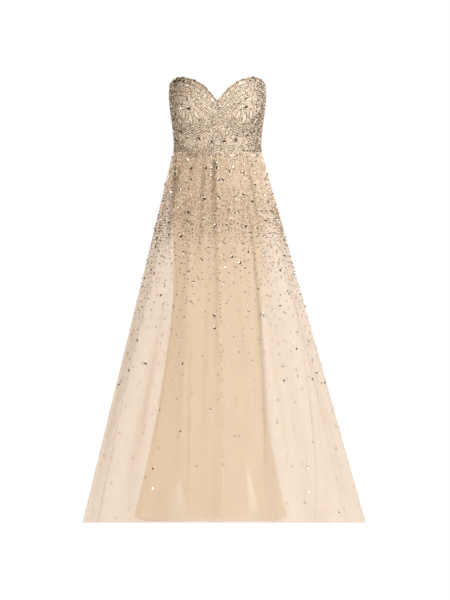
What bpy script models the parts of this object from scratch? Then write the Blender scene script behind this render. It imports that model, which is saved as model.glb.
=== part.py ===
"""Strapless evening gown, floor length, as it stands when it is worn.

The boned bodice has eight panels and a sweetheart top edge with two rounded cups. A net overskirt in
four gores hangs in soft folds over a slim lining skirt in five gores, whose two front seams are left
open at the hem as walking vents. A concealed zip closes the centre back.

Metres, +Z up. The origin is the middle of the waist. The wearer would face -Y, with their left at +X.
Angles run round the body from the centre front, 0 degrees, towards +X; the centre back is 180 degrees.
"""

import math

import bmesh
import bpy
import numpy as np

# Sizes that drive the whole gown
WAIST_SEAM = -0.032
HEM = -1.092
SEAM_GAP = 0.0003
BODICE_CLOTH = 0.0025
NET_CLOTH = 0.001
LINING_CLOTH = 0.001

# Bodice rings from the waist seam to the top: half width, depth in front and depth behind the axis
BODICE_RINGS = {
    "z": (-0.032, -0.012, 0.020, 0.050, 0.080, 0.110, 0.151, 0.185, 0.205),
    "half_width": (0.1313, 0.1264, 0.1262, 0.1290, 0.1330, 0.1363, 0.1390, 0.1345, 0.1300),
    "front": (0.0957, 0.0895, 0.0880, 0.0905, 0.0940, 0.0960, 0.0975, 0.0970, 0.0960),
    "back": (0.1015, 0.0945, 0.0925, 0.0965, 0.1000, 0.1000, 0.1000, 0.0990, 0.0980),
}
CUP_ANGLE = 34
CUP_SPREAD = 21
CUP_HEIGHT = 0.116
CUP_RISE_ABOVE = 0.055
CUP_RISE_BELOW = 0.040
CUP_DEPTH = 0.027

# The sweetheart edge: its height at each angle from the centre front, the same on both sides
TOP_EDGE = {
    "angle": (0, 5, 13, 26, 38, 50, 60, 71, 90, 112, 135, 158, 180),
    "z": (0.133, 0.147, 0.170, 0.190, 0.1975, 0.2000, 0.1975, 0.190, 0.174, 0.152, 0.128, 0.110, 0.104),
}

# Bodice panels of one side, from the centre front to the centre back
BODICE_PANELS = (
    ("bodice_front", 0, 35, 8),
    ("bodice_side_front", 35, 88, 9),
    ("bodice_side_back", 88, 140, 7),
    ("bodice_back", 140, 180, 5),
)
BODICE_ROWS = 10

# The overskirt is a straight-sided cone: each size at the waist seam, and what a metre of drop adds.
# The lean is how far a metre of drop carries its middle to the wearer's left
SKIRT_HALF_WIDTH = (0.1307, 0.264)
SKIRT_FRONT = (0.0955, 0.235)
SKIRT_BACK = (0.1013, 0.290)
SKIRT_LEAN = 0.0182
FOLD_DEPTH = 0.046
FOLD_ONSET = 0.75

# Folds of the overskirt, a row for each crest or valley. First where it lies at the waist, halfway
# down and at the hem, in degrees. Then how far out it stands there, from 0 in the deepest valley to 1
# on a crest
FOLDS = (
    ("right_side_seam", (-90, -90, -90), (1.00, 1.00, 1.00)),
    ("right_side_valley", (-72, -78, -78), (0.60, 0.72, 0.74)),
    ("right_panel_crest", (-55, -60, -62), (0.95, 1.00, 1.00)),
    ("right_deep_valley", (-40, -34, -41), (0.15, 0.05, 0.00)),
    ("right_inner_crest", (-24, -20, -14), (0.85, 0.90, 0.80)),
    ("centre_valley", (-6, -4, -7), (0.45, 0.45, 0.30)),
    ("centre_front_seam", (0, 0, 0), (0.92, 0.95, 0.85)),
    ("left_front_hollow", (8, 6, 5), (0.65, 0.75, 0.70)),
    ("left_front_crest", (20, 13, 11), (0.85, 0.88, 0.82)),
    ("left_step_foot", (34, 23.5, 18.5), (0.35, 0.28, 0.10)),
    ("left_step_crest", (41, 28, 28), (1.00, 1.00, 0.95)),
    ("left_faint_valley", (56, 44, 36), (0.55, 0.72, 0.70)),
    ("left_broad_crest", (65, 56, 39.5), (0.95, 0.95, 0.78)),
    ("left_late_valley", (78, 78, 44.5), (0.88, 0.86, 0.25)),
    ("left_late_crest", (84, 84, 52), (0.96, 0.96, 0.92)),
    ("left_side_seam", (90, 90, 90), (1.00, 1.00, 1.00)),
    ("back_left_valley_1", (103, 104, 107), (0.40, 0.25, 0.20)),
    ("back_left_crest_1", (117, 119, 121), (0.90, 0.95, 0.90)),
    ("back_left_valley_2", (131, 131, 134), (0.35, 0.20, 0.08)),
    ("back_left_crest_2", (146, 147, 150), (1.00, 1.00, 1.00)),
    ("back_left_valley_3", (160, 161, 163), (0.45, 0.35, 0.30)),
    ("back_left_crest_3", (171, 171, 172), (0.90, 0.90, 0.95)),
    ("centre_back_seam", (180, 180, 180), (0.80, 0.70, 0.65)),
    ("back_right_crest_3", (190, 190, 189), (0.95, 1.00, 1.00)),
    ("back_right_valley_3", (203, 204, 201), (0.35, 0.20, 0.10)),
    ("back_right_crest_2", (216, 216, 214), (0.90, 0.90, 0.85)),
    ("back_right_valley_2", (229, 230, 227), (0.40, 0.30, 0.25)),
    ("back_right_crest_1", (243, 244, 242), (1.00, 1.00, 1.00)),
    ("back_right_valley_1", (257, 257, 255), (0.45, 0.40, 0.35)),
    ("right_side_seam_again", (270, 270, 270), (1.00, 1.00, 1.00)),
)
SKIRT_GORES = (
    ("overskirt_front_right", "right_side_seam", "centre_front_seam"),
    ("overskirt_front_left", "centre_front_seam", "left_side_seam"),
    ("overskirt_back_left", "left_side_seam", "centre_back_seam"),
    ("overskirt_back_right", "centre_back_seam", "right_side_seam_again"),
)
COLUMNS_BETWEEN_FOLDS = 4
SKIRT_LEVELS = (
    -0.055, -0.095, -0.145, -0.200, -0.203, -0.310, -0.440,
    -0.570, -0.680, -0.780, -0.880, -0.960, -1.030,
)

# Lining rings from the waist seam to its hem: sideways place of the axis, half width and depths
LINING_TOP = WAIST_SEAM - SEAM_GAP
LINING_HEM = -1.078
LINING_RINGS = {
    "z": (-1.078, -0.940, -0.700, -0.450, -0.150, LINING_TOP),
    "middle": (-0.019, -0.019, -0.015, 0.000, 0.001, 0.0006),
    "half_width": (0.2290, 0.1950, 0.1500, 0.1320, 0.1310, 0.1288),
    "front": (0.1700, 0.1500, 0.1250, 0.1080, 0.0985, 0.0936),
    "back": (0.1850, 0.1620, 0.1360, 0.1180, 0.1080, 0.0992),
}
LINING_FOLD_DEPTH = 0.010
LINING_LEVELS = (-0.060, -0.120, -0.230, -0.380, -0.540, -0.700, -0.820, -0.910, -0.963, -1.020)

# Lining seams: the angle at the waist and at the hem, the height where the seam parts into a vent, and
# half of the vent's width at the hem
LINING_SEAMS = {
    "right_front": (-31, -27, -0.963, 0.036),
    "left_front": (31, 36, -0.910, 0.019),
    "left_side": (108, 108, None, 0),
    "centre_back": (180, 180, None, 0),
    "right_side": (252, 252, None, 0),
    "right_front_again": (329, 333, -0.963, 0.036),
}
LINING_GORES = (
    ("lining_front", "right_front", "left_front", 14),
    ("lining_side_left", "left_front", "left_side", 14),
    ("lining_back_left", "left_side", "centre_back", 12),
    ("lining_back_right", "centre_back", "right_side", 12),
    ("lining_side_right", "right_side", "right_front_again", 14),
)

# The concealed zip at the centre back
ZIP_WIDTH = 0.0024
ZIP_CLOTH = 0.001
ZIP_FOOT = -0.2000
ZIP_TOP_MARGIN = 0.003
ZIP_ROWS = 12
SLIDER_SIZE = (0.0050, 0.0020, 0.0090)
SLIDER_DROP = 0.0110
BAIL_RADIUS = 0.0019
BAIL_WIRE = 0.0005
PIVOT_HEIGHT = 0.0010
PULL_WIDTH = 0.0050
PULL_LENGTH = 0.0210
PULL_THICKNESS = 0.0009
WINDOW_WIDTH = 0.0027
WINDOW_LENGTH = 0.0033
PIVOT_BAR = 0.0004

CHAMPAGNE = (0.80, 0.66, 0.50)
NUDE_NET = (0.86, 0.70, 0.54)
NUDE_SATIN = (0.84, 0.66, 0.47)
ZIP_TAPE = (0.76, 0.61, 0.46)
LACQUERED_METAL = (0.72, 0.60, 0.46)


def smooth_lookup(x, knots, values):
    """A smooth curve through the knots: cubic pieces, each knot's slope taken from its neighbours."""
    knots = np.asarray(knots, float)
    values = np.asarray(values, float)
    slopes = np.gradient(values, knots)
    x = np.clip(x, knots[0], knots[-1])
    piece = np.clip(np.searchsorted(knots, x) - 1, 0, len(knots) - 2)
    width = knots[piece + 1] - knots[piece]
    s = (x - knots[piece]) / width
    rise = values[piece + 1] - values[piece]
    start = slopes[piece] * width
    end = slopes[piece + 1] * width
    bend = 3 * rise - 2 * start - end
    twist = start + end - 2 * rise
    return values[piece] + s * (start + s * (bend + s * twist))


def ring_point(angle, z, middle, half_width, front, back):
    """A point of a ring that is half an ellipse in front of the axis and another half behind it."""
    depth = np.where(np.cos(angle) > 0, front, back)
    x = middle + half_width * np.sin(angle)
    return np.stack([x, -depth * np.cos(angle), z + 0 * angle], axis=-1)


def ring_outward(angle, half_width, front, back):
    """The level direction that points out of such a ring."""
    depth = np.where(np.cos(angle) > 0, front, back)
    out = np.stack([depth * np.sin(angle), -half_width * np.cos(angle), 0 * angle], axis=-1)
    return out / np.linalg.norm(out, axis=-1, keepdims=True)


def top_edge(angle):
    """Height of the bodice's top edge at an angle, in radians."""
    turned = np.degrees(np.abs(angle))
    return smooth_lookup(turned, TOP_EDGE["angle"], TOP_EDGE["z"])


def bodice_surface(angle, z):
    """The bodice's outer face: an oval ring with a rounded swell for each cup."""
    keys = ("half_width", "front", "back")
    sizes = [smooth_lookup(z, BODICE_RINGS["z"], BODICE_RINGS[key]) for key in keys]
    reach = np.where(z > CUP_HEIGHT, CUP_RISE_ABOVE, CUP_RISE_BELOW)
    up = np.exp(-(((z - CUP_HEIGHT) / reach) ** 2) / 2)
    swell = 0
    for side in (-1, 1):
        off = (np.degrees(angle) - side * CUP_ANGLE) / CUP_SPREAD
        swell = swell + CUP_DEPTH * up * np.exp(-(off**2) / 2)
    outward = ring_outward(angle, *sizes)
    return ring_point(angle, z, 0.0, *sizes) + swell[..., None] * outward


def fold_lines(share):
    """The angle of every crest and valley, and how far out it stands, at each share of the drop from
    waist to hem. Each runs smoothly through its three given places."""
    down = (0, 0.5, 1)
    angles = [np.radians(smooth_lookup(share, down, row[1])) for row in FOLDS]
    heights = [smooth_lookup(share, down, row[2]) for row in FOLDS]
    return np.array(angles), np.array(heights)


def fold_height(angle, share):
    """How far out the net stands, from 0 to 1: a cosine joins each crest or valley to the next."""
    turned = (angle + math.pi / 2) % (2 * math.pi) - math.pi / 2
    height = np.ones_like(turned)
    places, values = fold_lines(share)
    for start, end, first, second in zip(places, places[1:], values, values[1:]):
        ease = (1 - np.cos(math.pi * (turned - start) / (end - start))) / 2
        inside = (turned >= start) & (turned <= end)
        height = np.where(inside, first + (second - first) * ease, height)
    return height


def skirt_surface(angle, z):
    """The overskirt's outer face: a leaning oval cone, pressed in where a fold's valley runs."""
    drop = WAIST_SEAM - z
    cone = (SKIRT_HALF_WIDTH, SKIRT_FRONT, SKIRT_BACK)
    sizes = [at_waist + flare * drop for at_waist, flare in cone]
    share = np.clip(drop / (WAIST_SEAM - HEM), 0, None)
    pressed = FOLD_DEPTH * share**FOLD_ONSET * (1 - fold_height(angle, share))
    outward = ring_outward(angle, *sizes)
    return ring_point(angle, z, SKIRT_LEAN * drop, *sizes) - pressed[..., None] * outward


def lining_surface(angle, z):
    """The lining's outer face: a narrow oval that widens near the floor, its low waves growing
    downwards."""
    keys = ("middle", "half_width", "front", "back")
    middle, *sizes = [smooth_lookup(z, LINING_RINGS["z"], LINING_RINGS[key]) for key in keys]
    share = np.clip((LINING_TOP - z) / (LINING_TOP - LINING_HEM), 0, None)
    waves = 0.6 * np.cos(5 * angle + 0.4) + 0.4 * np.cos(9 * angle - 1.1) - 1
    pressed = LINING_FOLD_DEPTH * share**2 * waves
    outward = ring_outward(angle, *sizes)
    return ring_point(angle, z, middle, *sizes) + pressed[..., None] * outward


def outward_normal(surface, angle, z):
    """The direction out of a surface, from the two ways that its points move."""
    step = 1e-4
    across = surface(angle + step, z) - surface(angle - step, z)
    upward = surface(angle, z + step) - surface(angle, z - step)
    normal = np.cross(across, upward)
    return normal / np.linalg.norm(normal, axis=-1, keepdims=True)


def turn_by(surface, angle, z, distance):
    """The angle that moves a point of the surface sideways by a distance."""
    step = 1e-4
    rate = np.linalg.norm(surface(angle + step, z) - surface(angle - step, z), axis=-1) / (2 * step)
    return distance / rate


def principled(name, colour, roughness, metallic=0.0, alpha=1.0):
    material = bpy.data.materials.new(name)
    material.use_nodes = True
    shader = material.node_tree.nodes["Principled BSDF"]
    shader.inputs["Base Color"].default_value = (*colour, 1)
    shader.inputs["Roughness"].default_value = roughness
    shader.inputs["Metallic"].default_value = metallic
    shader.inputs["Alpha"].default_value = alpha
    return material


def add_object(name, mesh, material, collection):
    mesh.materials.append(material)
    made = bpy.data.objects.new(name, mesh)
    collection.objects.link(made)
    return made


def closed_wall(name, outer, inner, material, collection):
    """A cloth wall lofted between a grid of outer points and one of inner points, rows upwards. Both
    grids are parted along the same diagonals, so that the wall keeps its thickness where it twists."""
    rows, columns = outer.shape[:2]
    count = rows * columns
    index = np.arange(count).reshape(rows, columns)
    faces = []
    for row in range(rows - 1):
        for column in range(columns - 1):
            a, b = index[row, column], index[row, column + 1]
            c, d = index[row + 1, column + 1], index[row + 1, column]
            for corners in ((a, b, c), (a, c, d)):
                faces.append(corners)
                faces.append(tuple(corner + count for corner in reversed(corners)))
    foot, head = index[0], index[-1]
    start, end = index[:, 0][::-1], index[:, -1]
    for edge in (foot, end, head[::-1], start):
        for first, second in zip(edge, edge[1:]):
            faces.append((second, first, first + count, second + count))
    mesh = bpy.data.meshes.new(name)
    points = np.concatenate([outer.reshape(-1, 3), inner.reshape(-1, 3)])
    mesh.from_pydata(points.tolist(), [], [tuple(int(v) for v in face) for face in faces])
    mesh.validate()
    mesh.shade_smooth()
    mesh.set_sharp_from_angle(angle=math.radians(40))
    return add_object(name, mesh, material, collection)


def cloth(name, surface, angles, heights, thickness, material, collection):
    """A panel of cloth whose outer face lies on the surface. Its top and bottom edges are cut level."""
    outer = surface(angles, heights)
    normal = outward_normal(surface, angles, heights)
    normal[[0, -1], :, 2] = 0
    normal /= np.linalg.norm(normal, axis=-1, keepdims=True)
    inner = outer - thickness * normal
    return closed_wall(name, outer, inner, material, collection)


def make_bodice(collection):
    """Eight panels, four on each side, parted at the princess, side and back seams."""
    satin = principled("beaded_satin", CHAMPAGNE, 0.5)
    for side, side_name in ((1, "left"), (-1, "right")):
        for stem, first, last, columns in BODICE_PANELS:
            edges = np.radians(sorted((side * first, side * last)))
            across = np.linspace(edges[0], edges[1], columns + 1)
            angles = np.tile(across, (BODICE_ROWS + 1, 1))
            up = np.linspace(0, 1, BODICE_ROWS + 1)[:, None]
            heights = WAIST_SEAM + up * (top_edge(angles) - WAIST_SEAM)
            for column, inward in ((0, 1), (-1, -1)):
                at_zip = abs(abs(across[column]) - math.pi) < 1e-6
                part = ZIP_WIDTH / 2 + SEAM_GAP if at_zip else SEAM_GAP / 2
                turn = turn_by(bodice_surface, angles[:, column], heights[:, column], part)
                angles[:, column] += inward * turn
            name = f"{stem}_{side_name}"
            cloth(name, bodice_surface, angles, heights, BODICE_CLOTH, satin, collection)


def make_overskirt(collection):
    """Four gores of net, parted at the centre front, the sides and the zip, each gridded by its folds."""
    net = principled("nude_net", NUDE_NET, 0.7, alpha=0.5)
    levels = np.array([HEM, *sorted(SKIRT_LEVELS), WAIST_SEAM - SEAM_GAP])
    places = fold_lines((WAIST_SEAM - levels) / (WAIST_SEAM - HEM))[0]
    names = [row[0] for row in FOLDS]
    for name, first, last in SKIRT_GORES:
        lines = places[names.index(first) : names.index(last) + 1]
        steps = np.arange((len(lines) - 1) * COLUMNS_BETWEEN_FOLDS + 1) / COLUMNS_BETWEEN_FOLDS
        before = np.minimum(steps.astype(int), len(lines) - 2)
        angles = (lines[before] + (lines[before + 1] - lines[before]) * (steps - before)[:, None]).T
        heights = np.tile(levels[:, None], (1, len(steps)))
        for column, inward, edge in ((0, 1, first), (-1, -1, last)):
            beside_zip = (levels >= ZIP_FOOT) & (edge == "centre_back_seam")
            part = np.where(beside_zip, ZIP_WIDTH / 2 + SEAM_GAP, SEAM_GAP / 2)
            angles[:, column] += inward * turn_by(skirt_surface, angles[:, column], levels, part)
        cloth(name, skirt_surface, angles, heights, NET_CLOTH, net, collection)


def lining_seam(name, z, side):
    """The angle of a lining seam's edge at each height. side is 1 for the gore that starts there and
    -1 for the one that ends there."""
    at_waist, at_hem, parts_at, half_vent = LINING_SEAMS[name]
    share = (LINING_TOP - z) / (LINING_TOP - LINING_HEM)
    angle = np.radians(at_waist + (at_hem - at_waist) * share)
    half_gap = np.full_like(z, SEAM_GAP / 2)
    if parts_at is not None:
        below = np.clip((parts_at - z) / (parts_at - LINING_HEM), 0, 1)
        half_gap = half_gap + half_vent * below
    return angle + side * turn_by(lining_surface, angle, z, half_gap)


def make_lining(collection):
    """Five gores of satin. The two front seams open near the hem."""
    satin = principled("nude_satin", NUDE_SATIN, 0.35)
    levels = np.array([LINING_HEM, *sorted(LINING_LEVELS), LINING_TOP])
    for name, first, last, columns in LINING_GORES:
        start = lining_seam(first, levels, 1)[:, None]
        end = lining_seam(last, levels, -1)[:, None]
        angles = start + (end - start) * np.linspace(0, 1, columns + 1)
        heights = np.tile(levels[:, None], (1, columns + 1))
        cloth(name, lining_surface, angles, heights, LINING_CLOTH, satin, collection)


def centre_back(z):
    """Points of the outer face down the centre back, on the bodice above the waist and the net below."""
    back = np.full_like(z, math.pi)
    above = (z > WAIST_SEAM)[:, None]
    return np.where(above, bodice_surface(back, z), skirt_surface(back, z))


def make_zip(collection):
    """The closed coil, a narrow ribbon that fills the slot between the back panels."""
    nylon = principled("zip_nylon", ZIP_TAPE, 0.55)
    above = np.linspace(WAIST_SEAM, TOP_EDGE["z"][-1] - ZIP_TOP_MARGIN, ZIP_ROWS + 1)
    z = np.concatenate([np.linspace(ZIP_FOOT, WAIST_SEAM, ZIP_ROWS, endpoint=False), above])
    line = centre_back(z)
    half = np.array([ZIP_WIDTH / 2, 0, 0])
    outer = np.stack([line + half, line - half], axis=1)
    inner = outer - np.array([0, ZIP_CLOTH, 0])
    return closed_wall("back_zip", outer, inner, nylon, collection)


def make_slider(collection, cutters):
    """The slider's body with a round bail standing on it, which holds the pull."""
    metal = principled("slider_metal", LACQUERED_METAL, 0.3, metallic=0.9)
    middle = TOP_EDGE["z"][-1] - SLIDER_DROP
    face = float(centre_back(np.array([middle]))[0, 1]) + SEAM_GAP
    bpy.ops.mesh.primitive_cube_add(size=1, location=(0, face + SLIDER_SIZE[1] / 2, middle))
    body = bpy.context.object
    body.scale = SLIDER_SIZE
    bpy.ops.object.transform_apply(location=False, rotation=False, scale=True)
    body.name = body.data.name = "zip_slider"
    body.data.materials.append(metal)
    rounded = body.modifiers.new("rounded", "BEVEL")
    rounded.width = 0.0006
    rounded.segments = 2
    pivot = (0, face + SLIDER_SIZE[1] + PIVOT_HEIGHT, middle)
    bpy.ops.mesh.primitive_torus_add(
        location=pivot, rotation=(0, math.pi / 2, 0), major_segments=20, minor_segments=8,
        major_radius=BAIL_RADIUS, minor_radius=BAIL_WIRE,
    )
    bail = bpy.context.object
    bail.name = "bail_union"
    bail.hide_render = True
    bail.display_type = "WIRE"
    join = body.modifiers.new("bail", "BOOLEAN")
    join.operation = "UNION"
    join.object = bail
    for made, home in ((body, collection), (bail, cutters)):
        for old in list(made.users_collection):
            old.objects.unlink(made)
        home.objects.link(made)
    return pivot


def make_pull(collection, pivot):
    """The pull tab hangs from the bail: a drop-shaped plate with a window under its top bar."""
    metal = principled("pull_metal", LACQUERED_METAL, 0.3, metallic=0.9)
    half = PULL_WIDTH / 2
    shoulder = -PIVOT_BAR - WINDOW_LENGTH - 0.001
    belly = -PULL_LENGTH + 1.4 * half
    outline = [(-0.8 * half, PIVOT_BAR), (-0.8 * half, shoulder)]
    for step in range(9):
        turn = math.pi + math.pi * step / 8
        outline.append((1.1 * half * math.cos(turn), belly + 1.4 * half * math.sin(turn)))
    outline += [(0.8 * half, shoulder), (0.8 * half, PIVOT_BAR)]
    window_half = WINDOW_WIDTH / 2
    window = [
        (-window_half, -PIVOT_BAR),
        (window_half, -PIVOT_BAR),
        (window_half, -PIVOT_BAR - WINDOW_LENGTH),
        (-window_half, -PIVOT_BAR - WINDOW_LENGTH),
    ]
    curve = bpy.data.curves.new("zip_pull_outline", "CURVE")
    curve.dimensions = "2D"
    curve.fill_mode = "BOTH"
    curve.extrude = PULL_THICKNESS / 2
    for corners in (outline, window):
        spline = curve.splines.new("POLY")
        spline.points.add(len(corners) - 1)
        for point, (x, y) in zip(spline.points, corners):
            point.co = (x, y, 0, 1)
        spline.use_cyclic_u = True
    flat = bpy.data.objects.new("zip_pull_flat", curve)
    collection.objects.link(flat)
    bpy.context.view_layer.update()
    mesh = bpy.data.meshes.new_from_object(flat.evaluated_get(bpy.context.evaluated_depsgraph_get()))
    bpy.data.objects.remove(flat)
    shape = bmesh.new()
    shape.from_mesh(mesh)
    bmesh.ops.remove_doubles(shape, verts=shape.verts, dist=0.00002)
    bmesh.ops.recalc_face_normals(shape, faces=shape.faces)
    shape.to_mesh(mesh)
    shape.free()
    mesh.materials.clear()
    mesh.name = "zip_pull"
    pull = add_object("zip_pull", mesh, metal, collection)
    pull.location = pivot
    pull.rotation_euler = (math.pi / 2, 0, 0)
    return pull


def main():
    for old in list(bpy.data.objects):
        bpy.data.objects.remove(old)
    gown = bpy.data.collections.new("strapless_gown")
    cutters = bpy.data.collections.new("cutters")
    for collection in (gown, cutters):
        bpy.context.scene.collection.children.link(collection)
    make_bodice(gown)
    make_overskirt(gown)
    make_lining(gown)
    make_zip(gown)
    pivot = make_slider(gown, cutters)
    make_pull(gown, pivot)


main()
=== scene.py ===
"""Strapless evening gown: a beaded sweetheart bodice, a sheer net overskirt and a slim satin lining.

The pieces come in the order in which the gown is put together, from the lining out to the beads.
Metres, +Z up. The wearer would face -Y. Angles run round the body from the centre front, towards the
wearer's left.
"""

import math

import bpy
import mathutils
import numpy as np
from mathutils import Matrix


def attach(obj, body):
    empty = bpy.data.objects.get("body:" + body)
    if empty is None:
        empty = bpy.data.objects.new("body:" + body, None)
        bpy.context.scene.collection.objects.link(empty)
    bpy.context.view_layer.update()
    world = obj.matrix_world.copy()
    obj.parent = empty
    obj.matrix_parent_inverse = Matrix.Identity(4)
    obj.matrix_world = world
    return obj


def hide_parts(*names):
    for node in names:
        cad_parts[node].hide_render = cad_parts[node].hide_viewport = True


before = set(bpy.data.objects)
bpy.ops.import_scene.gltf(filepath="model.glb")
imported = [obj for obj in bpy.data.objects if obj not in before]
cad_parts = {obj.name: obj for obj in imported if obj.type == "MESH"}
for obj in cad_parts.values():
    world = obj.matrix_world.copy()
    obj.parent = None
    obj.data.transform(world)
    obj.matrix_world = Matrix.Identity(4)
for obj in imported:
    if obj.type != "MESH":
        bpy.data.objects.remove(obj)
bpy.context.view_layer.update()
scene = bpy.context.scene

# Lining skirt. Five gores of heavy champagne satin, cut slim and sewn together down their long edges.
# The two front seams are left open at the hem as walking vents. The matt back of the satin faces in.
# The hem is turned up and caught by hand.
WAIST_SEAM = -0.032
SKIRT_HEM = -1.092
LINING_HEM = -1.078
LINING_TOP = -0.0323
LINING_CLOTH = 0.0006

# Oval rings: their heights, middles, half widths, and depths in front and behind
LINING_RINGS = (
    (-1.078, -0.940, -0.700, -0.450, -0.150, LINING_TOP),
    (-0.019, -0.019, -0.015, 0.000, 0.001, 0.0006),
    (0.2290, 0.1950, 0.1500, 0.1320, 0.1310, 0.1288),
    (0.1700, 0.1500, 0.1250, 0.1080, 0.0985, 0.0936),
    (0.1850, 0.1620, 0.1360, 0.1180, 0.1080, 0.0992),
)
LINING_WAVE = 0.010
LINING_BACK_DIP = 0.010
HEM_TURN = 0.036
HEM_TURN_THICKNESS = 0.0005
HEM_STEP = 0.002
CAUGHT_BELOW = 0.003

# Seams, from the wearer's right front round to it again: the angle at the waist and at the hem, where
# the seam opens, and half the vent's width at the hem. A gore lies between each seam and the next
LINING_SEAMS = (
    (-31, -27, -0.963, 0.036), (31, 36, -0.910, 0.019), (108, 108, None, 0), (180, 180, None, 0),
    (252, 252, None, 0), (329, 333, -0.963, 0.036),
)
LINING_GORES = (
    "lining_front", "lining_side_left", "lining_back_left", "lining_back_right", "lining_side_right"
)
SATIN_FACE = "#DBD0C3"
SATIN_BACK = "#F2EBE3"
THREAD = "#D9B791"
STITCH_LENGTH = 0.0026
STITCH_PITCH = 0.0062
MOST_LEAN = 1.5


def smooth_through(x, knots, values):
    """A curve through the knots: between each two a cubic, whose slopes are those of the neighbours."""
    knots = np.asarray(knots, float)
    values = np.asarray(values, float)
    slopes = np.gradient(values, knots)
    x = np.clip(x, knots[0], knots[-1])
    piece = np.clip(np.searchsorted(knots, x) - 1, 0, len(knots) - 2)
    width = knots[piece + 1] - knots[piece]
    s = (x - knots[piece]) / width
    rise = values[piece + 1] - values[piece]
    start = slopes[piece] * width
    end = slopes[piece + 1] * width
    bend = 3 * rise - 2 * start - end
    twist = start + end - 2 * rise
    return values[piece] + s * (start + s * (bend + s * twist))


def unit(vectors):
    """The vectors, each scaled to a length of one."""
    return vectors / np.linalg.norm(vectors, axis=-1, keepdims=True)


def ring_point(angle, z, middle, half_width, front, back):
    """A point of an oval ring: half an ellipse in front of the axis and half of another behind it."""
    depth = np.where(np.cos(angle) > 0, front, back)
    x = middle + half_width * np.sin(angle)
    return np.stack([x, -depth * np.cos(angle), z + 0 * angle], axis=-1)


def ring_outward(angle, half_width, front, back):
    """The level unit vector out of such a ring: across its tangent, which is (a cos t, d sin t)."""
    depth = np.where(np.cos(angle) > 0, front, back)
    return unit(np.stack([depth * np.sin(angle), -half_width * np.cos(angle), 0 * angle], axis=-1))


def slopes_of(surface, angle, z):
    """How a point of the surface moves with its angle and with its height, by small steps."""
    step = 1e-4
    across = (surface(angle + step, z) - surface(angle - step, z)) / (2 * step)
    upward = (surface(angle, z + step) - surface(angle, z - step)) / (2 * step)
    return across, upward


def outward(surface, angle, z):
    """The unit normal of surface(angle, z): the cross product of its two slopes."""
    return unit(np.cross(*slopes_of(surface, angle, z)))


def turn_by(surface, angle, z, distance):
    """The angle that moves a point of the surface sideways by a distance: distance over slope."""
    across = slopes_of(surface, angle, z)[0]
    return distance / np.linalg.norm(across, axis=-1)


def lining_surface(angle, z):
    """The lining's face: an oval ring whose sizes follow the ring table, plus two cosine waves round
    the body whose height grows with the square of the drop from the waist."""
    middle, *sizes = [smooth_through(z, LINING_RINGS[0], row) for row in LINING_RINGS[1:]]
    share = np.clip((LINING_TOP - z) / (LINING_TOP - LINING_HEM), 0, None)
    waves = 0.6 * np.cos(5 * angle + 0.4) + 0.4 * np.cos(9 * angle - 1.1) - 1
    pressed = LINING_WAVE * share**2 * waves
    ring = ring_point(angle, z, middle, *sizes)
    return ring + pressed[..., None] * ring_outward(angle, *sizes)


def lining_seam(seam, z, side):
    """The angle of a lining seam's edge at each height: a straight run from waist to hem, and below
    the point where the seam opens, half the vent's width to its side as well."""
    at_waist, at_hem, opens_at, half_vent = seam
    share = (LINING_TOP - z) / (LINING_TOP - LINING_HEM)
    angle = np.radians(at_waist + (at_hem - at_waist) * share)
    half_gap = np.zeros_like(z)
    if opens_at is not None:
        half_gap = half_vent * np.clip((opens_at - z) / (opens_at - LINING_HEM), 0, 1)
    return angle + side * turn_by(lining_surface, angle, z, half_gap)


def run_of(points, axis=0):
    """The distance along a path, or along each line of a grid, from its first point."""
    steps = np.linalg.norm(np.diff(points, axis=axis), axis=-1)
    return np.insert(np.cumsum(steps, axis=axis), 0, 0, axis=axis)


def grid_uv(points):
    """Cut size as a map, in metres: along each row, the distance from its middle, and up each column,
    the distance from its foot."""
    u = run_of(points, 1)
    return np.stack([u - u[:, -1:] / 2, run_of(points, 0)], axis=-1)


def grid_quads(rows, columns):
    """The four corners of each cell of a grid of points, turning to the left as seen from outside."""
    index = np.arange(rows * columns).reshape(rows, columns)
    cells = [index[:-1, :-1], index[:-1, 1:], index[1:, 1:], index[1:, :-1]]
    return np.stack(cells, axis=-1).reshape(-1, 4)


def add_piece(name, points, faces, materials, face_materials=None, uv=None, smooth=True):
    """A mesh of the gown from arrays of points and of faces. Each corner takes its point's uv."""
    mesh = bpy.data.meshes.new(name)
    mesh.vertices.add(len(points))
    mesh.vertices.foreach_set("co", np.asarray(points, np.float32).ravel())
    mesh.loops.add(faces.size)
    mesh.loops.foreach_set("vertex_index", np.asarray(faces, np.int32).ravel())
    mesh.polygons.add(len(faces))
    starts = np.arange(0, faces.size, faces.shape[1], dtype=np.int32)
    mesh.polygons.foreach_set("loop_start", starts)
    for material in materials:
        mesh.materials.append(material)
    if face_materials is not None:
        mesh.polygons.foreach_set("material_index", np.asarray(face_materials, np.int32))
    mesh.polygons.foreach_set("use_smooth", np.full(len(faces), smooth))
    if uv is not None:
        corners = np.asarray(uv, np.float32)[faces.ravel()]
        mesh.uv_layers.new(name="cut").data.foreach_set("uv", corners.ravel())
    mesh.update(calc_edges=True)
    made = bpy.data.objects.new(name, mesh)
    scene.collection.objects.link(made)
    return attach(made, "gown")


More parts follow.
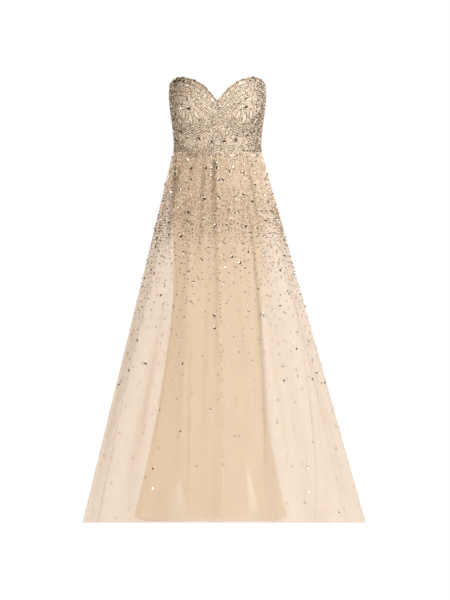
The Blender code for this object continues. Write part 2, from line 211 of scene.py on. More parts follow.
def add_wall(name, outer, inner, materials):
    """Cloth with a face and a back: two grids of points, joined round their rim. The rim is of the
    face's material."""
    rows, columns = outer.shape[:2]
    count = rows * columns
    quads = grid_quads(rows, columns)
    index = np.arange(count).reshape(rows, columns)
    rim = np.concatenate([index[0, :-1], index[:-1, -1], index[-1, :0:-1], index[:0:-1, 0]])
    following = np.roll(rim, -1)
    edge = np.stack([following, rim, rim + count, following + count], axis=-1)
    faces = np.concatenate([quads, quads[:, ::-1] + count, edge])
    kinds = np.repeat([0, 1, 0], [len(quads), len(quads), len(edge)])
    points = np.concatenate([outer.reshape(-1, 3), inner.reshape(-1, 3)])
    uv = np.tile(grid_uv(outer).reshape(-1, 2), (2, 1))
    made = add_piece(name, points, faces, materials, kinds, uv)
    made.data.set_sharp_from_angle(angle=math.radians(50))
    return made


def add_layer(name, points, material):
    """Cloth of a single layer, from its grid of points."""
    uv = grid_uv(points).reshape(-1, 2)
    return add_piece(name, points.reshape(-1, 3), grid_quads(*points.shape[:2]), [material], uv=uv)


def linear(colour):
    """An sRGB hex colour as linear light: c / 12.92 below 0.04045, else ((c + 0.055) / 1.055) ^ 2.4."""
    parts = [int(colour[i : i + 2], 16) / 255 for i in (1, 3, 5)]
    return (*[c / 12.92 if c <= 0.04045 else ((c + 0.055) / 1.055) ** 2.4 for c in parts], 1)


# Settings of the nodes that add, multiply, mix and tint
SUM = {"operation": "ADD"}
PRODUCT = {"operation": "MULTIPLY"}
MIXED = {"data_type": "RGBA"}
TINTED = {"data_type": "RGBA", "blend_type": "MULTIPLY"}


def feed(tree, made, inputs):
    """Gives a node its inputs: each a value, a socket to link to it, or a node whose first output is
    linked. An input's name is its label with underscores, or i and its number where labels repeat."""
    for key, value in inputs.items():
        place = int(key[1:]) if key[1:].isdigit() else key.replace("_", " ")
        if isinstance(value, bpy.types.Node):
            value = value.outputs[0]
        if isinstance(value, bpy.types.NodeSocket):
            tree.links.new(value, made.inputs[place])
        else:
            made.inputs[place].default_value = value
    return made


def node(tree, kind, settings={}, **inputs):
    """Adds a node. Settings are its properties."""
    made = tree.nodes.new("ShaderNode" + kind)
    for key, value in settings.items():
        setattr(made, key, value)
    return feed(tree, made, inputs)


def finish(name, **inputs):
    """A new material with one Principled shader, whose sockets take the values given."""
    material = bpy.data.materials.new(name)
    material.use_nodes = True
    tree = material.node_tree
    return material, tree, feed(tree, tree.nodes["Principled BSDF"], inputs)


def satin(name, colour, roughness, sheen, doubled=0.0):
    """Polyester satin. Long floats lie side by side along the cut, so it has a soft gloss and faint
    streaks: the floats are 0.3 mm wide, drawn 4 mm wide and 83 mm long to show, with slubs 25 mm
    apart. Up to the height given as doubled the cloth is turned up, and looks a little paler."""
    material, tree, shader = finish(
        name, Roughness=roughness, Sheen_Weight=sheen, Sheen_Roughness=0.4, Specular_IOR_Level=0.4
    )
    cut = node(tree, "UVMap", {"uv_map": "cut"})
    drawn = node(tree, "Mapping", Vector=cut, Scale=(250, 12, 1))
    streaks = node(tree, "TexNoise", Vector=drawn, Scale=1.0, Detail=3.0)
    slubs = node(tree, "TexNoise", Vector=cut, Scale=40.0, Detail=2.0)
    both = node(tree, "Math", SUM, i0=streaks, i1=slubs)
    tone = node(tree, "MapRange", Value=both, From_Min=0.6, From_Max=1.4, To_Min=0.94, To_Max=1.03)
    height = node(tree, "SeparateXYZ", Vector=cut)
    turned_up = node(
        tree, "MapRange", Value=height.outputs["Y"],
        From_Min=doubled, From_Max=doubled + 0.001, To_Min=1.03 if doubled else 1.0, To_Max=1.0,
    )
    paler = node(tree, "Math", PRODUCT, i0=tone, i1=turned_up)
    dyed = node(tree, "Mix", TINTED, i0=1.0, i6=linear(colour), i7=paler)
    relief = node(tree, "Bump", Height=streaks, Strength=0.15, Distance=0.0004)
    feed(tree, shader, {"Base_Color": dyed.outputs[2], "Normal": relief})
    return material


def sew_on(name, surface, places, template, materials, tones=0, tilt=0.0):
    """Copies of a small template on a surface, joined in one mesh. Each row of places is an angle, a
    height, a size, and how far the copy is turned to the left. A template point (x, y, h) goes to
    P + size (x a + y b + h n), where n is the normal at P and a and b are the two turned directions.
    Each copy leans at random: normally spread by the tilt, and at most 1.5 times it. A face's material
    is its copy's tone plus its own kind."""
    angle, z, size, turn = np.asarray(places, float).T
    points, faces, kinds = template
    across, upward = slopes_of(surface, angle, z)
    normal = unit(np.cross(across, upward))
    across = unit(across)
    up = np.cross(normal, across)
    cos, sin = np.cos(turn)[:, None], np.sin(turn)[:, None]
    a = cos * across + sin * up
    b = cos * up - sin * across
    lean = np.random.default_rng(len(angle)).normal(0, tilt, (2, len(angle), 1))
    lean = np.clip(lean, -MOST_LEAN * tilt, MOST_LEAN * tilt)
    axes = [a - lean[0] * normal, b - lean[1] * normal, normal + lean[0] * a + lean[1] * b]
    axes = np.stack(axes, axis=1) * size[:, None, None]
    made = surface(angle, z)[:, None] + np.einsum("pk,ckd->cpd", points, axes)
    corners = faces[None] + (np.arange(len(angle)) * len(points))[:, None, None]
    slots = (np.asarray(tones) + np.zeros(len(angle), int))[:, None] + kinds[None]
    made, corners = made.reshape(-1, 3), corners.reshape(-1, 3)
    return add_piece(name, made, corners, materials, slots.ravel(), smooth=False)


def bar(width, height):
    """A bar of unit length that lies on the cloth, flat below and with two sloping sides: 12 faces."""
    w, h = width / 2, height
    section = np.array([(-w, 0.0), (w, 0.0), (0.5 * w, h), (-0.5 * w, h)])
    ends = [np.insert(section, 0, x, axis=1) for x in (-0.5, 0.5)]
    faces = []
    for side in range(4):
        ahead = (side + 1) % 4
        faces += [(side, side + 4, ahead), (ahead, side + 4, ahead + 4)]
    faces += [(0, 1, 2), (0, 2, 3), (6, 5, 4), (7, 6, 4)]
    return np.concatenate(ends), np.array(faces)[:, ::-1], np.zeros(12, int)


def along_ring(surface, z, start, end):
    """The length of the surface's level curve at each of many angles from start to end, in radians."""
    angles = np.linspace(start, end, 721)
    return angles, run_of(surface(angles, np.full_like(angles, z)))


def hem_stitches(z, start, end):
    """Places for stitches along a level line of the lining, a pitch apart between two angles."""
    angles, run = along_ring(lining_surface, z, start, end)
    at = np.arange(STITCH_PITCH / 2, run[-1] - STITCH_PITCH / 2, STITCH_PITCH)
    turned = np.interp(at, run, angles)
    return np.column_stack(np.broadcast_arrays(turned, z, STITCH_LENGTH, 0))


satin_face = satin("champagne_satin_face", SATIN_FACE, 0.45, 0.4, HEM_TURN)
satin_back = satin("champagne_satin_back", SATIN_BACK, 0.8, 0.1)

# Filament polyester, dyed a shade deeper than the satin
thread = finish("polyester_thread", Base_Color=linear(THREAD), Roughness=0.5)[0]
for name, first, last in zip(LINING_GORES, LINING_SEAMS, LINING_SEAMS[1:]):
    z = np.linspace(LINING_HEM, LINING_TOP, 70)
    turned_to = LINING_HEM + HEM_TURN
    z = np.sort(np.append(z, (turned_to, turned_to + HEM_STEP)))
    start = lining_seam(first, z, 1)[:, None]
    end = lining_seam(last, z, -1)[:, None]
    angles = start + (end - start) * np.linspace(0, 1, 33)
    behind = np.clip((-np.cos(angles) - 0.1) / 0.5, 0, 1)
    share = (LINING_TOP - z[:, None]) / (LINING_TOP - LINING_HEM)
    heights = z[:, None] - LINING_BACK_DIP * behind * share
    normal = outward(lining_surface, angles, heights)
    turn_up = np.where(z < turned_to + HEM_STEP / 2, HEM_TURN_THICKNESS, 0)[:, None, None]
    face = lining_surface(angles, heights) + turn_up * normal
    back = lining_surface(angles, heights) - LINING_CLOTH * normal
    gore = add_wall(name, face, back, [satin_face, satin_back])
    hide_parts(name)
    caught_at = turned_to - CAUGHT_BELOW
    edges = np.interp(caught_at, z, angles[:, 0]), np.interp(caught_at, z, angles[:, -1])
    run = hem_stitches(caught_at, *edges)
    sew_on(name + "_hem_stitches", lining_surface, run, bar(0.18, 0.32), [thread])

# Overskirt. Four gores of soft nylon net, sewn at the centre front, the sides and the centre back, and
# set into the waist seam with small gathers. It hangs free in long uneven folds and is cut off raw at
# the hem.
SKIRT_HALF_WIDTH = (0.1307, 0.264)
SKIRT_FRONT = (0.0955, 0.235)
SKIRT_BACK = (0.1013, 0.290)
SKIRT_LEAN = 0.0182
FOLD_DEPTH = 0.046
FOLD_ONSET = 0.75

# Large folds, a row for each crest or valley from the wearer's right side round to it again: where it
# lies at the waist, halfway down and at the hem, in degrees, and how far out it stands at each, from 0
# in the deepest valley to 1 on the highest crest
FOLDS = (
    (-90, -90, -90, 1, 1, 1), (-72, -78, -78, 0.6, 0.72, 0.74), (-55, -60, -62, 0.95, 1, 1),
    (-40, -34, -41, 0.15, 0.05, 0), (-24, -20, -14, 0.85, 0.9, 0.8), (-6, -4, -7, 0.45, 0.45, 0.3),
    (0, 0, 0, 0.92, 0.95, 0.85), (8, 6, 5, 0.65, 0.75, 0.7), (20, 13, 11, 0.85, 0.88, 0.82),
    (34, 23.5, 18.5, 0.35, 0.28, 0.1), (41, 28, 28, 1, 1, 0.95), (56, 44, 36, 0.55, 0.72, 0.7),
    (65, 56, 39.5, 0.95, 0.95, 0.78), (78, 78, 44.5, 0.88, 0.86, 0.25), (84, 84, 52, 0.96, 0.96, 0.92),
    (90, 90, 90, 1, 1, 1), (103, 104, 107, 0.4, 0.25, 0.2), (117, 119, 121, 0.9, 0.95, 0.9),
    (131, 131, 134, 0.35, 0.2, 0.08), (146, 147, 150, 1, 1, 1), (160, 161, 163, 0.45, 0.35, 0.3),
    (171, 171, 172, 0.9, 0.9, 0.95), (180, 180, 180, 0.8, 0.7, 0.65), (190, 190, 189, 0.95, 1, 1),
    (203, 204, 201, 0.35, 0.2, 0.1), (216, 216, 214, 0.9, 0.9, 0.85), (229, 230, 227, 0.4, 0.3, 0.25),
    (243, 244, 242, 1, 1, 1), (257, 257, 255, 0.45, 0.4, 0.35), (270, 270, 270, 1, 1, 1),
)
SKIRT_GORES = (
    ("overskirt_front_right", -90, 0), ("overskirt_front_left", 0, 90),
    ("overskirt_back_left", 90, 180), ("overskirt_back_right", 180, 270),
)

# Small creases, a row each: the angle at its top and at its foot in degrees, where it starts and ends
# as a share of the drop, half its width and its depth in mm. A negative depth is a ridge
CREASES = (
    (-71, -76, 0, 0.35, 5, 1.6), (-86, -83, 0.05, 1, 7, 2.6), (-78, -77, 0.15, 1, 46, 3),
    (-66, -43, 0, 0.34, 8, 4.4), (-36, -40, 0.25, 1, 4, 2.2), (-62, -70, 0.02, 0.7, 9, 2.2),
    (-53, -54, 0, 0.28, 7, 3.2), (-43, -50, 0, 0.55, 8, -2), (-44, -52, 0.35, 1, 10, 2.6),
    (-36, -36, 0, 0.22, 4, 1.4), (-30, -27, 0, 0.6, 6, 2), (-24, -23, 0.3, 1, 8, 2.2),
    (-20, -14.5, 0.45, 1, 2.2, 4.2), (-17.5, -17.5, 0, 0.36, 8, 3.6), (-13, -12.5, 0.05, 0.62, 5, -2.2),
    (-11, -11, 0, 0.2, 3, 1.4), (-9, -10, 0.25, 0.9, 7, 2.2), (-6.5, -6, 0, 0.26, 6, 2.6),
    (-3, -3, 0, 0.75, 5, 2.4), (4, 4, 0, 0.4, 5, 2), (10, 7, 0, 0.3, 4, 1.8), (14, 13, 0.2, 0.85, 8, 2),
    (17, 15, 0, 0.22, 3, 1.4), (24, 18, 0.05, 0.55, 6, 1.9), (29, 22, 0, 0.25, 4, 1.6),
    (33, 18.6, 0.08, 1, 2.4, 5.2), (35, 31, 0.1, 0.95, 9, 2.2), (41, 39, 0, 0.36, 7, 3.2),
    (49, 46, 0.35, 0.9, 10, -2.2), (57, 55, 0, 0.3, 5, 1.6), (60, 44.5, 0.5, 1, 2.6, 5),
    (66, 60, 0.1, 0.6, 8, 2), (74, 66, 0.4, 1, 11, 2.4), (80, 80, 0, 0.32, 5, 1.5),
    (97, 99, 0, 0.45, 7, 2), (108, 112, 0.15, 0.85, 9, 2.4), (116, 114, 0, 0.25, 4, 1.6),
    (124, 127, 0.3, 1, 10, -2.2), (131, 130, 0, 0.38, 5, 2), (141, 142, 0.05, 0.66, 7, 2.2),
    (150, 155, 0, 0.22, 4, 1.7), (156, 157, 0.25, 0.95, 9, 2.3), (166, 167, 0, 0.5, 6, 2),
    (174, 175, 0.1, 0.7, 5, 2.2), (185, 185, 0, 0.44, 5, 2.1), (193, 195, 0.2, 0.9, 8, 2.3),
    (201, 198, 0, 0.26, 4, 1.6), (210, 209, 0.1, 0.75, 8, -2.2), (219, 222, 0, 0.36, 5, 1.9),
    (226, 229, 0.35, 1, 10, 2.5), (236, 236, 0, 0.5, 6, 1.8), (246, 249, 0.15, 0.8, 9, 2.2),
    (254, 252, 0, 0.24, 4, 1.6), (262, 264, 0.3, 1, 9, 2),
)
NET_COLOUR = "#DDC4A6"
NET_CELL = 0.0018
NET_COVER = 0.41
NET_COVER_RANGE = 0.26
# Painted shade of the folds: how much the net's colour darkens in creases and deep valleys, and how much
# its cover rises there, partly for bunched threads and partly as painted shade
NET_PAINTED_CREASE_SHADE = 0.34
NET_CREASE_COVER_AND_SHADE = 0.55
SEAM_WIDTH = 0.004
SEAM_LIFT = 0.0005
ZIP_FOOT = -0.2
CREASE_AT_SEAM = 0.12


def fold_height(angle, share):
    """How far out the net stands, from 0 to 1: half a cosine from each crest or valley to the next.
    The angle and the height of each are curves through its row of the table."""
    turned = (angle + math.pi / 2) % (2 * math.pi) - math.pi / 2
    height = np.ones_like(turned)
    down = (0, 0.5, 1)
    places = [np.radians(smooth_through(share, down, row[:3])) for row in FOLDS]
    values = [smooth_through(share, down, row[3:]) for row in FOLDS]
    for start, end, first, second in zip(places, places[1:], values, values[1:]):
        ease = (1 - np.cos(math.pi * (turned - start) / (end - start))) / 2
        inside = (turned >= start) & (turned <= end)
        height = np.where(inside, first + (second - first) * ease, height)
    return height


def crease_depth(angle, share):
    """How deep the small creases press the net, in metres: each a bell across its line, whose depth
    rises and falls along it as a sine. One that starts at the waist seam has part of its depth there."""
    turned = np.degrees((angle + math.pi / 2) % (2 * math.pi) - math.pi / 2)
    pressed = np.zeros_like(turned)
    for at_top, at_foot, start, end, half_width, depth in CREASES:
        along = np.clip((share - start) / (end - start), 0, 1)
        line = at_top + (at_foot - at_top) * along
        reach = 0.13 + 0.27 * share
        off = np.radians(turned - line) * reach / (half_width / 1000)
        rising = CREASE_AT_SEAM if start == 0 else 0.0
        swell = np.sin(math.pi * (rising + (1 - rising) * along))
        pressed = pressed + depth / 1000 * swell * (share <= end) * np.exp(-(off**2) / 2)
    return pressed


def drop_share(z):
    """How far down the skirt a height is, from 0 at the waist seam to 1 at the hem."""
    return np.clip((WAIST_SEAM - z) / (WAIST_SEAM - SKIRT_HEM), 0, None)


def skirt_surface(angle, z):
    """The overskirt's face: a leaning oval cone, pressed in where a fold's valley or a crease runs."""
    drop = WAIST_SEAM - z
    share = drop_share(z)
    cone = (SKIRT_HALF_WIDTH, SKIRT_FRONT, SKIRT_BACK)
    sizes = [at_waist + flare * drop for at_waist, flare in cone]
    valleys = FOLD_DEPTH * share**FOLD_ONSET * (1 - fold_height(angle, share))
    pressed = valleys + crease_depth(angle, share)
    ring = ring_point(angle, z, SKIRT_LEAN * drop, *sizes)
    return ring - pressed[..., None] * ring_outward(angle, *sizes)


def crease_shade_and_gather(angle, share):
    """How much the net bunches up and how much painted shade it takes in its folds and creases, from 0
    on a
    smooth crest to 1 in a sharp crease: a quarter from how deep the valley is and three quarters from
    the creases' depth over 2.5 mm, all of it nearly twice as much at the waist seam as low down. The
    seam itself adds 0.03."""
    valley = np.clip(1 - fold_height(angle, share), 0, 1) ** 1.5
    creased = np.clip(0.25 * valley + 0.75 * crease_depth(angle, share) / 0.0025, 0, 1.6)
    near_waist = (1 - share) ** 4
    return np.clip(creased * (0.65 + 0.55 * near_waist) + 0.03 * near_waist, 0, 1)


def net(name, layers):
    """Nylon net, knitted from fine thread into six-sided cells and dyed nude. The cells are 1.3 mm
    across and are drawn 1.8 mm across to show. Three waves at 60 degrees add up to a peak in each open
    cell, where the cover is least. In folds and creases the cover rises, partly for the bunched threads
    and partly as painted shade, and the colour is darkened there as painted shade."""
    material, tree, shader = finish(name, Roughness=0.7, Specular_IOR_Level=0.15)
    cut = node(tree, "UVMap", {"uv_map": "cut"})
    waves = []
    for turn in (0, 60, 120):
        way = (math.cos(math.radians(turn)), math.sin(math.radians(turn)), 0)
        place = node(tree, "VectorMath", {"operation": "DOT_PRODUCT"}, i0=cut, i1=way)
        turns = 2 * math.pi / NET_CELL
        phase = node(tree, "Math", PRODUCT, i0=place.outputs["Value"], i1=turns)
        waves.append(node(tree, "Math", {"operation": "COSINE"}, i0=phase))
    two = node(tree, "Math", SUM, i0=waves[0], i1=waves[1])
    three = node(tree, "Math", SUM, i0=two, i1=waves[2])
    cover = 1 - (1 - NET_COVER) ** layers
    thread = node(
        tree, "MapRange", Value=three, From_Min=-1.5, From_Max=2.2,
        To_Min=min(cover + 0.4 * NET_COVER_RANGE, 1.0), To_Max=cover - 0.6 * NET_COVER_RANGE,
    )
    # The fold and crease amount raises the cover, partly for bunched threads and partly as painted shade
    crease_shade_amount = node(tree, "Attribute", {"attribute_name": "crease_shade_and_gather"}).outputs["Fac"]
    crease_cover_and_shade = node(tree, "MapRange", Value=crease_shade_amount, To_Min=1.0, To_Max=1 + NET_CREASE_COVER_AND_SHADE)
    clamped = {"operation": "MULTIPLY", "use_clamp": True}
    drawn = node(tree, "Math", clamped, i0=thread, i1=crease_cover_and_shade)
    cloudy = node(tree, "TexNoise", Vector=cut, Scale=9.0, Detail=2.0)
    tone = node(tree, "MapRange", Value=cloudy, From_Min=0.3, From_Max=0.7, To_Min=0.965, To_Max=1.03)
    # Painted shade: the net's colour darkens in folds and creases
    deeper = node(tree, "MapRange", Value=crease_shade_amount, To_Min=1.0, To_Max=1 - NET_PAINTED_CREASE_SHADE)
    both = node(tree, "Math", clamped, i0=tone, i1=deeper)
    dyed = node(tree, "Mix", TINTED, i0=1.0, i6=linear(NET_COLOUR), i7=both)
    feed(tree, shader, {"Base_Color": dyed.outputs[2], "Alpha": drawn})
    return material


def net_seam(name, angle, top):
    """A seam of doubled net: a narrow strip that lies on the skirt along one angle, five columns wide
    and lifted off it."""
    z = np.linspace(SKIRT_HEM, top, 160)
    half_turn = turn_by(skirt_surface, np.full_like(z, angle), z, SEAM_WIDTH / 2)[:, None]
    angles = angle + half_turn * np.linspace(-1, 1, 5)
    heights = np.tile(z[:, None], (1, 5))
    lift = SEAM_LIFT * outward(skirt_surface, angles, heights)
    return add_layer(name, skirt_surface(angles, heights) + lift, doubled_net)


nude_net = net("nude_nylon_net", 1)
doubled_net = net("nude_nylon_net_doubled", 2)
for name, first, last in SKIRT_GORES:
    z = np.linspace(SKIRT_HEM, WAIST_SEAM, 130)
    angles, heights = np.meshgrid(np.radians(np.linspace(first, last, 111)), z)
    face = skirt_surface(angles, heights)
    gore = add_layer(name, face, nude_net)
    # Each point of the net keeps its amount of painted fold and crease shade, for its material
    crease_shade_attribute = gore.data.attributes.new("crease_shade_and_gather", "FLOAT", "POINT")
    crease_shade_attribute.data.foreach_set("value", crease_shade_and_gather(angles, drop_share(heights)).ravel())
    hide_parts(name)
    seam_top = ZIP_FOOT if last == 180 else WAIST_SEAM
    seam = net_seam(name + "_seam", math.radians(last), seam_top)

# Bodice. Eight panels of champagne satin on a boned inner layer, four on each side, joined at the
# princess, side and back seams. The upper edge is turned in. Inside, a boning channel runs up each
# side of every seam.
BODICE_CLOTH = 0.0024
BODICE_SUNK = 0.0006

# Oval rings: their heights, half widths, and depths in front and behind. The cups swell out of them,
# and the top edge is angles in degrees from the centre front and its height there
BODICE_RINGS = (
    (-0.032, -0.012, 0.020, 0.050, 0.080, 0.110, 0.151, 0.185, 0.205),
    (0.1313, 0.1264, 0.1262, 0.1290, 0.1330, 0.1363, 0.1390, 0.1345, 0.1300),
    (0.0957, 0.0895, 0.0880, 0.0905, 0.0940, 0.0960, 0.0975, 0.0970, 0.0960),
    (0.1015, 0.0945, 0.0925, 0.0965, 0.1000, 0.1000, 0.1000, 0.0990, 0.0980),
)
CUP = {"angle": 34, "spread": 21, "height": 0.116, "above": 0.055, "below": 0.040, "depth": 0.027}
TOP_EDGE = (
    (0, 5, 13, 26, 38, 50, 60, 71, 90, 112, 135, 158, 180),
    (0.133, 0.147, 0.17, 0.19, 0.1975, 0.2, 0.1975, 0.19, 0.174, 0.152, 0.128, 0.11, 0.104),
)
BODICE_PANELS = (
    ("bodice_front", 0, 35), ("bodice_side_front", 35, 88), ("bodice_side_back", 88, 140),
    ("bodice_back", 140, 180),
)
ZIP_SLOT = 0.0015
GROOVE = {"depth": 0.0007, "half_width": 0.0015}
BONE = {"depth": 0.0009, "from_seam": 0.005, "half_width": 0.0035, "edge": 0.0004}
BODICE_RADIUS = 0.13
BODICE_SATIN = "#E0D1BF"
BODICE_INSIDE = "#EAD2B8"


def top_edge(angle):
    """Height of the upper edge at an angle: a curve through the edge table, alike on both sides."""
    turned = np.degrees(np.abs((angle + math.pi) % (2 * math.pi) - math.pi))
    return smooth_through(turned, *TOP_EDGE)


def bodice_surface(angle, z):
    """The bodice's face: an oval ring whose sizes follow the ring table, plus a bell-shaped swell for
    each cup, which falls off faster below the bust than above it."""
    sizes = [smooth_through(z, BODICE_RINGS[0], row) for row in BODICE_RINGS[1:]]
    reach = np.where(z > CUP["height"], CUP["above"], CUP["below"])
    up = np.exp(-(((z - CUP["height"]) / reach) ** 2) / 2)
    turned = (angle + math.pi) % (2 * math.pi) - math.pi
    swell = 0
    for side in (-1, 1):
        off = (np.degrees(turned) - side * CUP["angle"]) / CUP["spread"]
        swell = swell + CUP["depth"] * up * np.exp(-(off**2) / 2)
    return ring_point(angle, z, 0.0, *sizes) + swell[..., None] * ring_outward(angle, *sizes)


bodice_face = satin("bodice_satin_face", BODICE_SATIN, 0.45, 0.2)
bodice_inside = satin("bodice_lining_satin", BODICE_INSIDE, 0.4, 0.2)
for side, side_name in ((1, "left"), (-1, "right")):
    for stem, first, last in BODICE_PANELS:
        name = f"{stem}_{side_name}"
        edges = np.radians(sorted((side * first, side * last)))
        angles = np.tile(np.linspace(*edges, 37), (50, 1))
        up = np.linspace(0, 1, 50)[:, None]
        heights = WAIST_SEAM + up * (top_edge(angles) - WAIST_SEAM)
        for column, inward in ((0, 1), (-1, -1)):
            part = ZIP_SLOT if abs(abs(angles[0, column]) - math.pi) < 1e-6 else 0.0
            turned = turn_by(bodice_surface, angles[:, column], heights[:, column], part)
            angles[:, column] += inward * turned
        normal = outward(bodice_surface, angles, heights)
        surface = bodice_surface(angles, heights)
        turned = np.minimum(angles - angles[:, :1], angles[:, -1:] - angles)
        from_seam = turned * BODICE_RADIUS
        groove = GROOVE["depth"] * np.exp(-((from_seam / GROOVE["half_width"]) ** 2))
        past_bone = np.abs(from_seam - BONE["from_seam"]) - BONE["half_width"]
        bone = BONE["depth"] / (1 + np.exp(past_bone / BONE["edge"]))
        face = surface - (BODICE_SUNK + groove)[..., None] * normal
        inside = surface - (BODICE_CLOTH + bone)[..., None] * normal
        panel = add_wall(name, face, inside, [bodice_face, bodice_inside])
        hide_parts(name)

# Zip. A nylon coil on narrow tape, set between the back panels and the back gores of net. The slider
# and its drop-shaped pull are cast zinc, lacquered to match the cloth.
ZIP_TOP = 0.1010
TAPE_DEPTHS = (0.0004, 0.0010)
TOOTH_LENGTH = 0.0024
TOOTH_PITCH = 0.0014
COIL_COLOUR = "#DCC2A2"
WORN_COIL = "#C9AE8C"
LACQUER = "#D0B490"
WORN_LACQUER = "#B89A74"


def centre_back_surface(angle, z):
    """The cloth's face near the centre back: the bodice above the waist seam and the net below it."""
    above = (z > WAIST_SEAM)[..., None]
    return np.where(above, bodice_surface(angle, z), skirt_surface(angle, z))


def mottled(name, colour, worn, grain, **inputs):
    """A finish whose colour drifts between two tones in soft patches, with a fine grain in relief. The
    grain is given as its size in metres."""
    material, tree, shader = finish(name, **inputs)
    place = node(tree, "TexCoord").outputs["Object"]
    patches = node(tree, "TexNoise", Vector=place, Scale=0.25 / grain)
    dyed = node(tree, "Mix", MIXED, i0=patches, i6=linear(colour), i7=linear(worn))
    fine = node(tree, "TexNoise", Vector=place, Scale=1 / grain)
    relief = node(tree, "Bump", Height=fine, Strength=0.3, Distance=grain / 4)
    feed(tree, shader, {"Base_Color": dyed.outputs[2], "Normal": relief})
    return material


z = np.linspace(ZIP_FOOT, ZIP_TOP, 90)
angles = math.pi + np.zeros((len(z), 3))
heights = np.tile(z[:, None], (1, 3))
line = centre_back_surface(angles, heights)
line[..., 0] += TOOTH_LENGTH / 2 * np.array([1, 0, -1])
tape_face, tape_back = [line - [0, depth, 0] for depth in TAPE_DEPTHS]
nylon = mottled("dyed_nylon_coil", COIL_COLOUR, WORN_COIL, 0.001, Roughness=0.5)
tape = add_wall("zip_tape", tape_face, tape_back, [nylon, nylon])
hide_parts("back_zip")
teeth = np.arange(ZIP_FOOT, ZIP_TOP, TOOTH_PITCH)
places = np.column_stack(np.broadcast_arrays(math.pi, teeth, TOOTH_LENGTH, 0))
coil = sew_on("zip_coil", centre_back_surface, places, bar(0.36, 0.26), [nylon])
zinc = mottled(
    "lacquered_zinc", LACQUER, WORN_LACQUER, 0.0008, Metallic=0.85, Roughness=0.3, Coat_Weight=0.5
)
for name in ("zip_slider", "zip_pull"):
    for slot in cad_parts[name].material_slots:
        slot.material = zinc

# Bodice beadwork. Cut glass beads are stitched on one by one, in rows that follow the sweetheart edge,
# sweep under each bust point, stand as small fans on the waist and wave up the sides. Loose beads fill
# the satin between them, and a few leaves and drops of it stay bare. Claw-set stones mark the middles.
SEED = 0.0026
SEED_PITCH = 0.0027
EDGE_BEAD = 0.0033
BUGLE_LENGTH = 0.0046
BUGLE_PITCH = 0.0037
GIRTH_LEVEL = 0.085

# A chart of the cloth marks the places that are taken. Metres, and a margin in cells
CHART_CELL = 0.0005
CHART_FOOT = -0.050
CHART_ROWS = 560
CHART_MARGIN = 40

# Clearances, in metres: what each kind of piece takes on the chart beyond its middle, or beyond its
# edge for a stone, and how far beads keep from the waist seam, the upper edge and the zip
SEED_TAKES = 0.0024
BUGLE_TAKES = 0.0030
STONE_TAKES = 0.0012
LEAF_TAKES = 0.0012
ABOVE_WAIST = 0.001
UNDER_EDGE = 0.0012
BESIDE_ZIP = 0.0035

# Silver-lined and pearly glass, each tone a colour, metallic value and roughness. The mixes give the
# share of each tone, in the same order
GLASS = {
    "smoke": ("#53463A", 0.80, 0.26),
    "bronze": ("#70502F", 0.75, 0.28),
    "taupe": ("#8C7C69", 0.75, 0.28),
    "champagne": ("#CEBBA2", 0.60, 0.30),
    "rose": ("#DFBCA6", 0.50, 0.30),
    "cream": ("#F4E8D8", 0.30, 0.30),
    "crystal": ("#FFFBF5", 0.90, 0.10),
}
TONES = list(GLASS)
MIXES = {
    "dark": (0.36, 0.00, 0.42, 0.10, 0.04, 0.04, 0.04),
    "brown": (0.20, 0.38, 0.22, 0.10, 0.04, 0.02, 0.04),
    "deep": (0.25, 0.00, 0.30, 0.18, 0.07, 0.11, 0.09),
    "mixed": (0.17, 0.02, 0.24, 0.22, 0.08, 0.16, 0.11),
    "soft": (0.09, 0.00, 0.17, 0.27, 0.12, 0.22, 0.13),
    "bright": (0.00, 0.03, 0.05, 0.20, 0.18, 0.40, 0.14),
}

# The beadwork on one side, along the girth from the centre front and up. The other side mirrors it.
# Lengths are in metres, but the five tables are in mm: rows at the edge are a depth and a mix, stems a
# mix and the points that they pass through, stones a place and a size, leaves a place, a direction and
# a length, and drops two ends and half a width
EDGE_ROWS = (
    (4.2, "dark"), (14.8, "dark"), (27.0, "dark"), (33.4, "mixed"), (39.8, "dark"), (46.2, "mixed"),
    (52.6, "dark"),
)
EDGE_BUGLES = 0.0095
EDGE_STONES = 0.021
EDGE_STONE_PITCH = 0.012
EDGE_STONE = 0.0042
BUST = (0.080, 0.096)
BUST_ARCS = (0.0352, 0.0416, 0.0480, 0.0544, 0.0608, 0.0672)
BUST_SWEEP = (194, 350)
WAIST_ROWS = (0.0016, 0.0096, 0.0124)
WAIST_BUGLES = 0.0056
FAN_PITCH = 0.042
FAN_FOOT = -0.018
FAN_ROWS = (0.0064, 0.0128, 0.0192)
WAVE_PITCH = 0.044
WAVES_FROM = 0.150
WAVE_PAIR = (-0.0032, 0.0032)
WAVE = {"foot": 0.006, "top": 0.160, "sway": 0.004, "length": 0.058}
LEAF_WIDTH = 0.0084
STEMS = (
    ("mixed", ((0, 10), (0, 40), (0, 75), (0, 106))),
    ("dark", ((13, -16), (11, 20), (14, 56), (30, 84))),
    ("mixed", ((19.4, -16), (17.4, 18), (20.4, 52), (36, 78))),
    ("dark", ((25.8, -16), (24, 16), (27, 47), (42, 71))),
)
STONES = (
    (80, 112, 9.6), (58, 121, 5.6), (102, 121, 5.6), (80, 136, 7.6), (22, 12, 8.8), (63, 20, 8.8),
    (104, 28, 7.8), (0, 116, 6.8), (131, 40, 8.8), (136, 92, 8.2), (172, 20, 7.0), (172, 78, 7.0),
    (216, 48, 7.0), (260, 18, 7.0), (260, 76, 7.0), (304, 46, 7.0), (348, 20, 7.0), (348, 66, 7.0),
)
